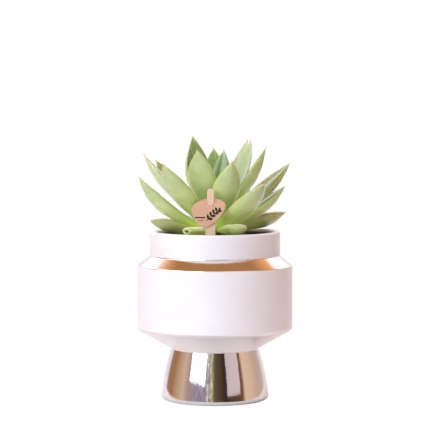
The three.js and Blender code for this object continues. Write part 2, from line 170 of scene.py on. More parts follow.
# The room's walls, by degrees to the right of the camera
ROOM_BANDS = [
    *[(-180, "ece6ee"), (-137, "e6dce4"), (-131, "a57f68"), (-111, "a77653"), (-90, "c5a286")],
    *[(-76, "d1b4a0"), (-62, "b1928f"), (-50, "a0909c"), (-26, "90889a"), (-21, "8f8478")],
    *[(-17, "b9b4c2"), (-12, "8f8569"), (-7, "c9bc98"), (-3, "6b6350"), (3, "57503f")],
    *[(14, "553a2b"), (22, "382a25"), (60, "6a4a38"), (64, "7c5a46"), (70, "e2c2a8")],
    *[(90, "dcba9f"), (110, "c6aa94"), (130, "c6aea8"), (150, "e7e0e2"), (180, "ece6ee")],
]
# Where small lamps glint in it, just left of the camera
GLINT_BANDS = [(-56, "000000"), (-48, "909090"), (-23, "909090")]
GLINT_BANDS += [(-18, "ffffff"), (-5, "ffffff"), (-3, "000000")]


# ---- Making meshes, finishes and pieces ----------------------------------------------------


def linear(hex_colour):
    """An sRGB hex colour as linear red, green, blue and alpha."""
    shares = [int(hex_colour[i : i + 2], 16) / 255 for i in (0, 2, 4)]
    return [c / 12.92 if c <= 0.04045 else ((c + 0.055) / 1.055) ** 2.4 for c in shares] + [1.0]


def feed(tree, node, inputs):
    """Links inputs to the sockets given, or to a node's first output, and sets other values."""
    for key, value in inputs.items():
        if isinstance(value, bpy.types.Node):
            value = value.outputs[0]
        if isinstance(value, bpy.types.NodeSocket):
            tree.links.new(value, node.inputs[key])
        else:
            node.inputs[key].default_value = value


def add(tree, kind, inputs=None, stops=(), **settings):
    """Adds a node with its settings, its inputs and a colour ramp's stops."""
    node = tree.nodes.new(kind)
    for key, value in settings.items():
        setattr(node, key, value)
    feed(tree, node, inputs or {})
    if stops:
        elements = node.color_ramp.elements
        while len(elements) < len(stops):
            elements.new(0.5)
        for element, (position, colour) in zip(elements, stops):
            element.position = position
            element.color = linear(colour) if isinstance(colour, str) else (*colour, 1)
    return node


def new_material(name):
    """A material with only its output and a Principled shader, and that shader."""
    material = bpy.data.materials.new(name)
    material.use_nodes = True
    tree = material.node_tree
    tree.nodes.clear()
    shader = add(tree, "ShaderNodeBsdfPrincipled")
    add(tree, "ShaderNodeOutputMaterial", {"Surface": shader})
    return material, tree, shader


def add_piece(name, data, nodes=()):
    """A piece that rides on the body and stands for its CAD nodes."""
    piece = bpy.data.objects.new(name, data)
    bpy.context.scene.collection.objects.link(piece)
    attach(piece, "root")
    if nodes:
        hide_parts(*nodes)
    return piece


def smooth_piece(name, vertices, faces, materials, nodes=(), finishes=None):
    """A smooth piece from its points and faces, and from each face's place in its finishes."""
    data = bpy.data.meshes.new(name)
    data.from_pydata([tuple(v) for v in vertices], [], faces)
    for material in materials:
        data.materials.append(material)
    if finishes is not None:
        data.polygons.foreach_set("material_index", finishes)
    data.polygons.foreach_set("use_smooth", [True] * len(data.polygons))
    data.validate()
    return add_piece(name, data, nodes)


def flat_piece(name, mesh, materials, nodes=()):
    """A crisp piece from a bmesh, which it uses up."""
    data = bpy.data.meshes.new(name)
    mesh.to_mesh(data)
    mesh.free()
    for material in materials:
        data.materials.append(material)
    return add_piece(name, data, nodes)


def thicken(mesh, thickness):
    """Makes a flat bmesh a plate, by drawing its faces out along Y."""
    made = bmesh.ops.extrude_face_region(mesh, geom=mesh.faces[:])
    moved = [v for v in made["geom"] if isinstance(v, bmesh.types.BMVert)]
    bmesh.ops.translate(mesh, vec=(0, thickness, 0), verts=moved)
    bmesh.ops.recalc_face_normals(mesh, faces=mesh.faces)


def set_attribute(piece, name, values):
    """Writes one number per vertex that a finish reads."""
    attribute = piece.data.attributes.new(name, "FLOAT", "POINT")
    attribute.data.foreach_set("value", np.asarray(values, np.float32))


def smooth_curve(points, at):
    """Values of a smooth curve through (position, value) points, which never overshoots them."""
    x, y = np.array(points, float).T
    step = np.diff(x)
    slope = np.diff(y) / step
    tangent = np.zeros_like(y)
    tangent[0], tangent[-1] = slope[0], slope[-1]
    same = slope[:-1] * slope[1:] > 0
    mean = 2 * slope[:-1] * slope[1:] / np.where(same, slope[:-1] + slope[1:], 1)
    tangent[1:-1] = np.where(same, mean, 0)
    i = np.clip(np.searchsorted(x, at) - 1, 0, len(step) - 1)
    s = np.clip((at - x[i]) / step[i], 0, 1)
    h = step[i]
    return (
        y[i] * (1 + 2 * s) * (1 - s) ** 2
        + tangent[i] * h * s * (1 - s) ** 2
        + y[i + 1] * s * s * (3 - 2 * s)
        + tangent[i + 1] * h * s * s * (s - 1)
    )


def rounded_outline(corners, arc_steps=8, spacing=4 * MM):
    """Points through corners of (radius, height, rounding), each rounding a true arc. Straight
    stretches get points close to both ends, which keep the shading of the arcs to the arcs."""
    flat = [Vector(corner[:2]) for corner in corners]
    runs = [[flat[0]]]
    for i in range(1, len(corners) - 1):
        before, corner, after = flat[i - 1 : i + 2]
        rounding = corners[i][2] if len(corners[i]) > 2 else 0
        back, onward = (before - corner).normalized(), (after - corner).normalized()
        opening = back.angle(onward)
        if not rounding or opening > math.pi - 0.01:
            runs.append([corner])
            continue
        reach = rounding / math.tan(opening / 2)
        centre = corner + (back + onward).normalized() * rounding / math.sin(opening / 2)
        start, end = corner + back * reach - centre, corner + onward * reach - centre
        turn = start.angle_signed(end)
        turns = [Matrix.Rotation(-turn * k / arc_steps, 2) for k in range(arc_steps + 1)]
        runs.append([centre + turned @ start for turned in turns])
    runs.append([flat[-1]])
    points = []
    for run, following in zip(runs, runs[1:] + [None]):
        points += run
        if following is None:
            continue
        start, end = run[-1], following[0]
        length = (end - start).length
        pieces = max(1, round(length / spacing))
        shares = [k / pieces for k in range(1, pieces)]
        near = min(0.3 * MM, length / 4) / max(length, 1e-9)
        points += [start.lerp(end, share) for share in sorted({near, 1 - near, *shares})]
    return points


def lathe(outline, sides, finish_of=None):
    """Vertices, faces and finishes of an outline turned about Z. Ends on the axis are closed."""
    vertices, faces, finishes, rings = [], [], [], []
    for point in outline:
        if point.x < 1e-7:
            rings.append([len(vertices)])
            vertices.append((0, 0, point.y))
            continue
        rings.append(list(range(len(vertices), len(vertices) + sides)))
        for k in range(sides):
            angle = 2 * math.pi * k / sides
            vertices.append((point.x * math.cos(angle), point.x * math.sin(angle), point.y))
    for i, (ring, following) in enumerate(zip(rings, rings[1:])):
        middle = (outline[i] + outline[i + 1]) / 2
        for k in range(sides):
            n = (k + 1) % sides
            quad = [ring[k % len(ring)], ring[n % len(ring)]]
            quad += [following[n % len(following)], following[k % len(following)]]
            faces.append(tuple(dict.fromkeys(quad)))
            finishes.append(finish_of(middle) if finish_of else 0)
    return vertices, faces, finishes


def soft_noise(point, size, seed=0.0):
    """Smooth noise from -1 to 1 whose features are about size across."""
    return noise.noise(Vector(point) / size + Vector((seed, 2 * seed, 3 * seed)))


def closed_curve(corners, steps):
    """Points of a smooth closed curve through its corners."""
    count = len(corners)
    points = []
    for i in range(count):
        a, b, c, d = (Vector(corners[(i + k) % count]) for k in (-1, 0, 1, 2))
        for k in range(steps):
            t = k / steps
            square = (2 * a - 5 * b + 4 * c - d) * t * t
            points.append(0.5 * (2 * b + (c - a) * t + square + (3 * b - a - 3 * c + d) * t**3))
    return points


def apply_modifiers(piece):
    """Makes a piece's modifiers part of its mesh."""
    graph = bpy.context.evaluated_depsgraph_get()
    graph.update()
    made = bpy.data.meshes.new_from_object(piece.evaluated_get(graph))
    piece.modifiers.clear()
    piece.data = made


# ---- Finishes ------------------------------------------------------------------------------


def white_satin_glaze(colour):
    """Stoneware glaze, sprayed and fired: an even satin white, faintly dimpled like peel."""
    material, tree, shader = new_material("white_satin_glaze")
    place = add(tree, "ShaderNodeTexCoord").outputs["Object"]
    # Clouds 30 mm across where the spray lay thicker, and dimples 2.5 mm across
    cloud = add(tree, "ShaderNodeTexNoise", {"Vector": place, "Scale": 1 / (30 * MM), "Detail": 3})
    tone = add(tree, "ShaderNodeValToRGB", {"Fac": cloud}, [(0.3, colour), (0.7, "f2edf0")])
    gloss = add(tree, "ShaderNodeMapRange", {"Value": cloud, "To Min": 0.26, "To Max": 0.34})
    peel = add(tree, "ShaderNodeTexNoise", {"Vector": place, "Scale": 1 / (2.5 * MM), "Detail": 2})
    dimples = {"Height": peel, "Strength": 0.05, "Distance": 0.1 * MM}
    bump = add(tree, "ShaderNodeBump", dimples)
    feed(tree, shader, {"Base Color": tone, "Roughness": gloss, "Normal": bump, "IOR": 1.52})
    return material


def silver_lustre(colour):
    """Metal lustre brushed over the glaze and fired again: a mirror with slight waves."""
    material, tree, shader = new_material("silver_lustre")
    place = add(tree, "ShaderNodeTexCoord").outputs["Object"]
    # Brush waves 12 mm across, and a grain 1.2 mm across, coarser than the real one so it shows
    film = add(tree, "ShaderNodeTexNoise", {"Vector": place, "Scale": 1 / (12 * MM), "Detail": 4})
    gloss = add(tree, "ShaderNodeMapRange", {"Value": film, "To Min": 0.03, "To Max": 0.09})
    grain = add(tree, "ShaderNodeTexNoise", {"Vector": place, "Scale": 1 / (1.2 * MM), "Detail": 2})
    brushed = {"Height": film, "Strength": 0.3, "Distance": 0.1 * MM}
    waves = add(tree, "ShaderNodeBump", brushed)
    fine = {"Height": grain, "Strength": 0.4, "Distance": 0.06 * MM, "Normal": waves}
    bump = add(tree, "ShaderNodeBump", fine)
    feed(tree, shader, {"Base Color": (*colour, 1), "Metallic": 1.0})
    feed(tree, shader, {"Roughness": gloss, "Normal": bump})
    return material


def potting_peat(dark, light):
    """Damp peat and bark fines: near black and matt, each crumb its own shade."""
    material, tree, shader = new_material("potting_peat")
    place = add(tree, "ShaderNodeTexCoord").outputs["Object"]
    own = add(tree, "ShaderNodeAttribute", attribute_name="crumb_shade").outputs["Fac"]
    # Fibres 1.6 mm across
    fibre = add(tree, "ShaderNodeTexNoise", {"Vector": place, "Scale": 1 / (1.6 * MM), "Detail": 6})
    mixed = add(tree, "ShaderNodeMath", {0: fibre, 1: own}, operation="ADD")
    shades = [(0.3, dark), (0.75, "2d2017"), (1.0, light)]
    tone = add(tree, "ShaderNodeValToRGB", {"Fac": mixed}, shades)
    rough = {"Height": fibre, "Strength": 0.9, "Distance": 0.4 * MM}
    bump = add(tree, "ShaderNodeBump", rough)
    feed(tree, shader, {"Base Color": tone, "Normal": bump, "Roughness": 0.9})
    return material


def succulent_skin(s):
    """Living leaf skin, smooth and waxy: yellow green at its base, paler and greyer under its
    bloom towards the end, a thin warm line along each edge, and a red point. A painted glow
    lifts the shade on its lower part."""
    material, tree, shader = new_material("succulent_skin")
    place = add(tree, "ShaderNodeTexCoord").outputs["Object"]
    along, side, edge, tint, dry = (
        add(tree, "ShaderNodeAttribute", attribute_name=name).outputs["Fac"]
        for name in LEAF_NUMBERS
    )
    # The base's yellow green is painted brighter than the real skin, lifting the shade that falls
    # low between the leaves.
    outside = [(0.0, s.base_colour), (0.25, "d4ea70"), (0.5, "cbde86")]
    outside += [(0.85, s.outer_colour), (1.0, "b8b68a")]
    # The upper face is greener than the outer, having no bloom, and is also painted darker for the
    # shade it lies in between the leaves.
    inside = [(0.0, "a0c048"), (0.4, s.inner_colour), (0.85, "829e56"), (1.0, "98a468")]
    outer = add(tree, "ShaderNodeValToRGB", {"Fac": along}, outside)
    inner = add(tree, "ShaderNodeValToRGB", {"Fac": along}, inside)
    # Bloom is a patchy pale wax, thickest at the middle of the outer face, in patches 11 mm across.
    wax = {"Vector": place, "Scale": 1 / (11 * MM), "Detail": 3}
    patches = add(tree, "ShaderNodeTexNoise", wax)
    # Hard water leaves a few pale specks, about half a millimetre across and 7.5 mm apart.
    spots = {"Vector": place, "Scale": 1 / (7.5 * MM), "Randomness": 1.0}
    cells = add(tree, "ShaderNodeTexVoronoi", spots)
    drops = add(tree, "ShaderNodeSeparateColor", {"Color": cells.outputs["Color"]})

    # What each layer follows, from where to where it changes, and its first and last strength
    reaches = {
        "facing": (side, -0.1, 0.25, 0.0, 1.0),
        "patch": (patches, 0.3, 0.75, 0.05, 0.35),
        "below": (side, 0.0, -0.9, 0.0, 1.0),
        "pale": (tint, 0.0, -1.0, 0.0, 0.55),
        # olive, partly the leaf's age and partly painted shade on the leaves at the right back
        "old": (tint, 0.0, 1.0, 0.0, 0.5),
        "lined": (edge, 0.95, 1.0, 0.0, 0.4),
        "end": (along, 0.9, 0.99, 0.0, 0.4),
        "rim": (edge, 0.2, 0.9, 0.3, 1.0),
        "point": (along, 0.965, 0.99, 0.0, 1.0),
        "spot": (cells, 0.085, 0.045, 0.0, 1.0),
        "few": (drops, 0.8, 0.82, 0.0, 1.0),
        # a painted glow, strongest near the base, lifting the shade on the lower leaf
        "painted_glow": (along, 0.05, 0.85, 0.2, 0.0),
    }
    shares = {}
    keys = ("Value", "From Min", "From Max", "To Min", "To Max")
    for layer, reach in reaches.items():
        change = dict(zip(keys, reach))
        shares[layer] = add(tree, "ShaderNodeMapRange", change, interpolation_type="SMOOTHSTEP")
    bloom, blush, speck = (
        add(tree, "ShaderNodeMath", {0: shares[one], 1: shares[other]}, operation="MULTIPLY")
        for one, other in [("patch", "below"), ("end", "rim"), ("spot", "few")]
    )
    faces = {"Factor": shares["facing"], 6: outer, 7: inner}
    skin = add(tree, "ShaderNodeMix", faces, data_type="RGBA").outputs[2]
    layers = [
        (bloom, "dbe4bc"),
        (shares["pale"], "dfe8cc"),
        (shares["old"], "9c9850"),
        (shares["lined"], "c8b48c"),
        (blush, "d0a098"),
        (shares["point"], "cc5c60"),
        (speck, "f0f2e6"),
        (dry, "553629"),
    ]
    for share, colour in layers:
        over = {"Factor": share, 6: skin, 7: linear(colour)}
        skin = add(tree, "ShaderNodeMix", over, data_type="RGBA").outputs[2]

    waxed = {"Value": bloom, "From Max": 0.5, "To Min": 0.2, "To Max": 0.38}
    gloss = add(tree, "ShaderNodeMapRange", waxed, interpolation_type="SMOOTHSTEP")
    # Pores 2.2 mm across, coarser than the real ones so that they show
    pores = add(tree, "ShaderNodeTexNoise", {"Vector": place, "Scale": 1 / (2.2 * MM), "Detail": 3})
    soft = {"Height": patches, "Strength": 0.03, "Distance": 0.5 * MM}
    swell = add(tree, "ShaderNodeBump", soft)
    fine = {"Height": pores, "Strength": 0.05, "Distance": 0.12 * MM, "Normal": swell}
    bump = add(tree, "ShaderNodeBump", fine)
    feed(tree, shader, {"Base Color": skin, "Roughness": gloss, "Normal": bump, "IOR": 1.45})
    # A painted glow: the skin's own colour shines faintly from the base towards the end, lifting
    # the shade where the neighbouring leaves cover it
    feed(tree, shader, {"Emission Color": skin, "Emission Strength": shares["painted_glow"]})
    feed(tree, shader, {"Coat Weight": 0.4, "Coat Roughness": 0.2, "Subsurface Weight": 0.6})
    feed(tree, shader, {"Subsurface Radius": (0.85, 1.0, 0.35), "Subsurface Scale": 5 * MM})
    return material


def stem_bark():
    """Short woody stem ringed with the papery scars of dropped leaves."""
    material, tree, shader = new_material("stem_bark")
    place = add(tree, "ShaderNodeTexCoord").outputs["Object"]
    scars = {"Vector": place, "Scale": 1 / (20 * MM), "Distortion": 6.0, "Detail": 3}
    rings = add(tree, "ShaderNodeTexWave", scars, bands_direction="Z").outputs["Fac"]
    shades = [(0.2, "5b4630"), (0.6, "8a8048"), (0.9, "a3a45e")]
    tone = add(tree, "ShaderNodeValToRGB", {"Fac": rings}, shades)
    bump = add(tree, "ShaderNodeBump", {"Height": rings, "Strength": 0.6, "Distance": 0.5 * MM})
    feed(tree, shader, {"Base Color": tone, "Normal": bump, "Roughness": 0.8})
    return material


def birch_veneer(colour):
    """Punched birch stick: pale pink-cream wood with fine grain along its length."""
    material, tree, shader = new_material("birch_veneer")
    place = add(tree, "ShaderNodeTexCoord").outputs["Object"]
    # Grain lines 0.8 mm wide and 18 mm long
    lines = {"Vector": place, "Scale": (1 / (0.8 * MM), 1 / (0.8 * MM), 1 / (18 * MM))}
    stretched = add(tree, "ShaderNodeMapping", lines)
    wood = {"Vector": stretched, "Scale": 1.0, "Detail": 5, "Roughness": 0.6}
    grain = add(tree, "ShaderNodeTexNoise", wood)
    shades = [(0.3, "dcb596"), (0.55, colour), (0.8, "f6dcc4")]
    tone = add(tree, "ShaderNodeValToRGB", {"Fac": grain}, shades)
    bump = add(tree, "ShaderNodeBump", {"Height": grain, "Strength": 0.25, "Distance": 0.1 * MM})
    feed(tree, shader, {"Base Color": tone, "Normal": bump, "Roughness": 0.65})
    return material


def speckled_finish(name, shades, size, roughness, grain=(4, 0.5), bump=(0.3, 0.1 * MM)):
    """A finish whose specks, of a real size, set its shade and its relief. The grain is the
    specks' detail and roughness, and the bump their strength and depth. Where the roughness is a
    pair, it follows the specks from the first to the second."""
    material, tree, shader = new_material(name)
    place = add(tree, "ShaderNodeTexCoord").outputs["Object"]
    cloud = {"Vector": place, "Scale": 1 / size, "Detail": grain[0], "Roughness": grain[1]}
    specks = add(tree, "ShaderNodeTexNoise", cloud)
    tone = add(tree, "ShaderNodeValToRGB", {"Fac": specks}, shades)
    relief = {"Height": specks, "Strength": bump[0], "Distance": bump[1]}
    raised = add(tree, "ShaderNodeBump", relief)
    if isinstance(roughness, tuple):
        ends = {"Value": specks, "To Min": roughness[0], "To Max": roughness[1]}
        roughness = add(tree, "ShaderNodeMapRange", ends)
    feed(tree, shader, {"Base Color": tone, "Normal": raised, "Roughness": roughness})
    return material


def black_polypropylene():
    """Thin vacuum-formed nursery pot: black, with a soft sheen that patches of dust take off."""
    shades = [(0.45, "161514"), (0.75, "3a322b")]
    return speckled_finish("black_polypropylene", shades, 6 * MM, (0.35, 0.75), grain=(5, 0.5))


def bare_stoneware():
    """The wiped foot ring, unglazed fired clay: pale, matt and finely gritty."""
    shades = [(0.35, "c9bda9"), (0.65, "e2d8c6")]
    return speckled_finish("bare_stoneware", shades, 0.9 * MM, 0.85, bump=(0.4, 0.15 * MM))


def kraft_card(colour):
    """Laser-cut kraft card: warm brown, flecked with darker fibres, matt."""
    shades = [(0.3, "c79577"), (0.55, colour), (0.8, "e8bfa4")]
    return speckled_finish("kraft_card", shades, 1.1 * MM, 0.8, grain=(6, 0.7))


def scorched_edge():
    """Card browned where the laser cut through it."""
    shades = [(0.3, "6e4a38"), (0.7, "9a6d55")]
    return speckled_finish("scorched_edge", shades, 2 * MM, 0.85)


def scorched_print():
    """Card burnt near black where the laser drew on it."""
    shades = [(0.3, "120c0a"), (0.7, "241712")]
    return speckled_finish("scorched_print", shades, 1 * MM, 0.8)


# ---- Settings ------------------------------------------------------------------------------


def length_setting(name, description, default):
    """A length that a user can change, in metres."""
    return bpy.props.FloatProperty(
        name=name, description=description, default=default, min=0.0, unit="LENGTH"
    )


def colour_setting(name, description, hex_colour):
    """A colour that a user can change."""
    shares = {"default": linear(hex_colour)[:3], "size": 3, "min": 0.0, "max": 1.0}
    return bpy.props.FloatVectorProperty(
        name=name, description=description, subtype="COLOR", **shares
    )


class PotSettings(bpy.types.PropertyGroup):
    """Sizes and colours of the ceramic pot."""

    neck_radius: length_setting("Neck radius", "Outside of the upright neck", 52.5 * MM)
    waist_radius: length_setting("Waist radius", "Where the foot meets the body", 35.4 * MM)
    foot_radius: length_setting("Foot radius", "Widest part of the foot", 43.2 * MM)
    foot_height: length_setting("Foot height", "Up to the waist", 41.5 * MM)
    underside_height: length_setting("Underside height", "Waist to body band", 15.5 * MM)
    body_height: length_setting("Body height", "The upright body band", 51.4 * MM)
    shoulder_height: length_setting("Shoulder height", "Body band to neck", 8.0 * MM)
    wall: length_setting("Wall", "Thickness of the pot at its neck", 5.0 * MM)
    glaze_colour: colour_setting("Glaze", "Satin white glaze", "f7f2f5")
    lustre_colour: colour_setting("Lustre", "Silver lustre", "f3f0ee")


class PlantSettings(bpy.types.PropertyGroup):
    """Sizes and colours of the plant and its soil."""

    crumbs: bpy.props.IntProperty(
        name="Crumbs", description="Loose crumbs on the soil", default=900, min=0, max=5000
    )
    base_colour: colour_setting("Leaf base", "Leaf colour beside the stem", "d4ec50")
    outer_colour: colour_setting("Leaf outside", "Outer face near the leaf's end", "bdcb92")
    inner_colour: colour_setting("Leaf inside", "Upper face of a leaf", "6e8e3e")
    soil_dark: colour_setting("Soil, dark", "Damp peat", "120c08")
    soil_light: colour_setting("Soil, light", "Bark and dry fibre", "5a4432")


class LabelSettings(bpy.types.PropertyGroup):
    """Sizes and colours of the pick and its label."""

    card_thickness: length_setting("Card", "Thickness of the card", 0.8 * MM)
    wood_colour: colour_setting("Wood", "Pick", "f0cfb2")
    card_colour: colour_setting("Card colour", "Label", "deaf92")


# ---- The pieces ----------------------------------------------------------------------------


class ECHEVERIA_OT_pot(bpy.types.Operator):
    """Turns the ceramic pot, with its white glaze and its silver lustre."""

    bl_idname = "echeveria.pot"
    bl_label = "Ceramic Pot"

    def execute(self, context):
        s = context.scene.echeveria_pot
        body, lip = POT_HIGH.x, POT_HIGH.z
        body_bottom = s.foot_height + s.underside_height
        body_top = body_bottom + s.body_height
        neck_bottom = body_top + s.shoulder_height
        mouth = s.neck_radius - s.wall
        # The foot flares downwards in one soft curve, upright by the time it reaches its edge.
        flare = s.foot_radius - s.waist_radius
        curve = [
            (s.waist_radius + flare * float(smooth_curve(FOOT_FLARE, t)), t * s.foot_height)
            for t in np.linspace(0.08, 0.94, 24)
        ]
        ring = s.foot_radius - 11 * MM
        corners = [
            (0, 2.5 * MM),
            (ring - 3 * MM, 2.5 * MM, 1.5 * MM),
            (ring, 0, 0.8 * MM),
            (s.foot_radius + 0.15 * MM, 0, 2.9 * MM),
            *curve,
            (s.waist_radius, s.foot_height, 0.7 * MM),
            (body, body_bottom, 3.5 * MM),
            (body, body_top, 1.6 * MM),
            (s.neck_radius, neck_bottom, 1.3 * MM),
            (s.neck_radius, lip, 2.0 * MM),
            (mouth, lip, 2.0 * MM),
            (mouth, neck_bottom - 1.6 * MM, 3 * MM),
            (body - s.wall, body_top - 2 * MM, 3 * MM),
            (body - s.wall, body_bottom + 3 * MM, 6 * MM),
            (s.waist_radius - 3 * MM, s.foot_height + 3 * MM, 4 * MM),
            (s.foot_radius - 9 * MM, 7.5 * MM, 5 * MM),
            (0, 7.5 * MM),
        ]
        # Points nearer the axis than this, at each height, are on the pot's inside.
        middle_of_wall = [
            (7 * MM, s.foot_radius - 6 * MM),
            (s.foot_height, s.waist_radius - 1.5 * MM),
            (s.foot_height + 2 * MM, s.waist_radius - 0.8 * MM),
            (body_bottom + 1 * MM, body - 2.5 * MM),
            (body_top - 1 * MM, body - 2.5 * MM),
            (neck_bottom, s.neck_radius - 2.5 * MM),
            (lip, s.neck_radius - 2.5 * MM),
        ]
        glaze, lustre, bare = range(3)

        def finish_of(point):
            if point.y < 0.4 * MM and point.x < s.foot_radius - 2.5 * MM:
                return bare
            if point.x < ring and point.y < 3 * MM:
                return glaze
            if point.y > 6.5 * MM and point.x < np.interp(point.y, *zip(*middle_of_wall)):
                return glaze
            if point.y < body_bottom + 1.6 * MM:
                return lustre
            shoulder = body_top - 0.2 * MM < point.y < neck_bottom + 0.5 * MM
            return lustre if shoulder else glaze

        vertices, faces, finishes = lathe(rounded_outline(corners), POT_SIDES, finish_of)
        materials = [white_satin_glaze(s.glaze_colour), silver_lustre(s.lustre_colour)]
        materials.append(bare_stoneware())
        nodes = ["ceramic_pot"]
        smooth_piece("glazed_pot", vertices, faces, materials, nodes, finishes)
        return {"FINISHED"}


class ECHEVERIA_OT_nursery_pot(bpy.types.Operator):
    """Forms the thin black pot that holds the soil, with its rolled rim and drain holes."""

    bl_idname = "echeveria.nursery_pot"
    bl_label = "Nursery Pot"

    def execute(self, context):
        rim, base, outside = NURSERY_HIGH.z, NURSERY_LOW.z, NURSERY_HIGH.x
        wall, bottom = NURSERY_WALL, NURSERY_FOOT_RADIUS
        shoulder = rim - NURSERY_RIM_DEPTH
        mouth = outside - NURSERY_RIM_STEP
        corners = [
            (0, base),
            (bottom, base, 1.5 * MM),
            (mouth + wall - 0.4 * MM, shoulder, 0.6 * MM),
            (outside - 0.4 * MM, shoulder, 0.4 * MM),
            (outside, rim, 0.45 * MM),
            (outside - wall, rim, 0.45 * MM),
            (mouth, shoulder + wall, 1 * MM),
            (bottom - wall, base + wall, 1 * MM),
            (0, base + wall),
        ]
        vertices, faces, _ = lathe(rounded_outline(corners), 128)
        materials = [black_polypropylene()]
        nodes = ["nursery_pot"]
        piece = smooth_piece(
            "thin_nursery_pot", vertices, faces, materials, nodes
        )
        mesh = bmesh.new()
        size = {"radius1": DRAIN_HOLE_RADIUS, "radius2": DRAIN_HOLE_RADIUS, "depth": 4 * MM}
        for k in range(DRAIN_HOLES):
            angle = 2 * math.pi * k / DRAIN_HOLES
            side = DRAIN_CIRCLE_RADIUS * math.cos(angle), DRAIN_CIRCLE_RADIUS * math.sin(angle)
            spot = Matrix.Translation((*side, base))
            bmesh.ops.create_cone(mesh, cap_ends=True, segments=24, matrix=spot, **size)
        data = bpy.data.meshes.new("drain_drills")
        mesh.to_mesh(data)
        mesh.free()
        drills = bpy.data.objects.new("drain_drills", data)
        context.scene.collection.objects.link(drills)
        cut = piece.modifiers.new("drain_holes", "BOOLEAN")
        cut.object = drills
        cut.solver = "EXACT"
        apply_modifiers(piece)
        bpy.data.objects.remove(drills)
        return {"FINISHED"}


class ECHEVERIA_OT_soil(bpy.types.Operator):
    """Fills the nursery pot with peat, and strews loose crumbs and bark over it."""

    bl_idname = "echeveria.soil"
    bl_label = "Soil"

    def execute(self, context):
        s = context.scene.echeveria_plant
        material = potting_peat(s.soil_dark, s.soil_light)
        self.bed(material)
        self.crumbs(material, s.crumbs)
        return {"FINISHED"}

    def surface(self, distance):
        """The height of the soil's dome at a distance from its middle."""
        return SOIL_HIGH.z - SOIL_DOME * (distance / SOIL_HIGH.x) ** 2

    def bed(self, material):
        """The peat in one lumpy piece."""
        radius = SOIL_HIGH.x
        edge = SOIL_HIGH.z - SOIL_DOME
        shoulder = NURSERY_HIGH.z - NURSERY_RIM_DEPTH
        side = [(0, SOIL_LOW.z), (SOIL_FOOT_RADIUS, SOIL_LOW.z), (radius, shoulder)]
        side.append((radius, edge - SOIL_SETTLED))
        outline = [Vector(point) for point in side]
        for distance in radius * (1 - np.linspace(0, 1, 71)):
            outline.append(Vector((distance, self.surface(distance) - SOIL_SETTLED)))
        vertices, faces, _ = lathe(outline, 180)
        lumpy = []
        for x, y, z in vertices:
            if z > edge - 2 * MM:
                place = (x, y, z)
                z += (soft_noise(place, 7 * MM) * 0.9 + soft_noise(place, 2.2 * MM, 3) * 0.8) * MM
            lumpy.append((x, y, z))
        piece = smooth_piece("peat_bed", lumpy, faces, [material], ["soil"])
        set_attribute(piece, "crumb_shade", [0.12 * soft_noise(v, 4 * MM, 9) for v in lumpy])

    def crumbs(self, material, count):
        """Lumps of peat and flat flakes of bark, each a few millimetres across at most."""
        random = np.random.default_rng(SEED)
        lump = bmesh.new()
        bmesh.ops.create_icosphere(lump, subdivisions=2, radius=1.0)
        form = np.array([v.co[:] for v in lump.verts])
        lump_faces = [tuple(v.index for v in face.verts) for face in lump.faces]
        lump.free()
        vertices, faces, shades = [], [], []
        for k in range(count):
            distance = (SOIL_HIGH.x - 1.5 * MM) * math.sqrt(random.random())
            angle = random.random() * 2 * math.pi
            bark = random.random() < 0.1
            size = random.uniform(1.4, 2.6) if bark else random.uniform(0.4, 1.25)
            stretch = (1.0, 0.62, 0.32) if bark else random.uniform(0.65, 1.0, 3)
            turn = Matrix.Rotation(random.random() * 6.28, 3, random.normal(size=3))
            if bark:
                tip = Matrix.Rotation(random.uniform(-0.5, 0.5), 3, "X")
                turn = Matrix.Rotation(random.random() * 6.28, 3, "Z") @ tip
            swell = np.array([1 + 0.35 * soft_noise(p, 0.8, 11 + k * 1.7) for p in form])
            height = self.surface(distance) - SOIL_SETTLED + random.uniform(0.0, 0.9) * MM
            spot = np.array([distance * math.cos(angle), distance * math.sin(angle), height])
            shaped = (form * swell[:, None] * stretch * size * MM) @ np.array(turn).T
            start = len(vertices)
            vertices += list(shaped + spot)
            faces += [tuple(start + i for i in face) for face in lump_faces]
            shade = random.uniform(0.15, 0.45) if bark else random.uniform(-0.25, 0.2)
            shades += [shade] * len(form)
        piece = smooth_piece("peat_crumbs", vertices, faces, [material])
        set_attribute(piece, "crumb_shade", shades)


def stem_radius(height):
    """The stem's radius at a height above the soil, all in mm."""
    share = min(max(height / STEM_HEIGHT, 0), 1)
    return STEM_BASE_RADIUS + (STEM_TOP_RADIUS - STEM_BASE_RADIUS) * share


class ECHEVERIA_OT_stem(bpy.types.Operator):
    """Grows the short stem, ridged where old leaves have dropped."""

    bl_idname = "echeveria.stem"
    bl_label = "Stem"

    def execute(self, context):
        middle = (STEM_LOW + STEM_HIGH) / 2
        profile = [(0, -STEM_HEIGHT), (STEM_BASE_RADIUS - 1, -STEM_HEIGHT)]
        profile.append((STEM_BASE_RADIUS, 1 - STEM_HEIGHT))
        for height in np.linspace(2 - STEM_HEIGHT, STEM_HEIGHT - 0.5, 61):
            ridge = 0.35 * max(0.0, math.sin(height * 2.4)) ** 2
            profile.append((stem_radius(height) + ridge, height))
        profile += [(STEM_TOP_RADIUS / 2, STEM_HEIGHT), (0, STEM_HEIGHT)]
        outline = [Vector(point) * MM for point in profile]
        vertices, faces, _ = lathe(outline, 64)
        shaped = []
        for x, y, z in vertices:
            swell = 1 + 0.05 * soft_noise((x, y, z), 4 * MM)
            shaped.append((x * swell + middle.x, y * swell + middle.y, z + middle.z))
        smooth_piece("woody_stem", shaped, faces, [stem_bark()], ["stem"])
        return {"FINISHED"}


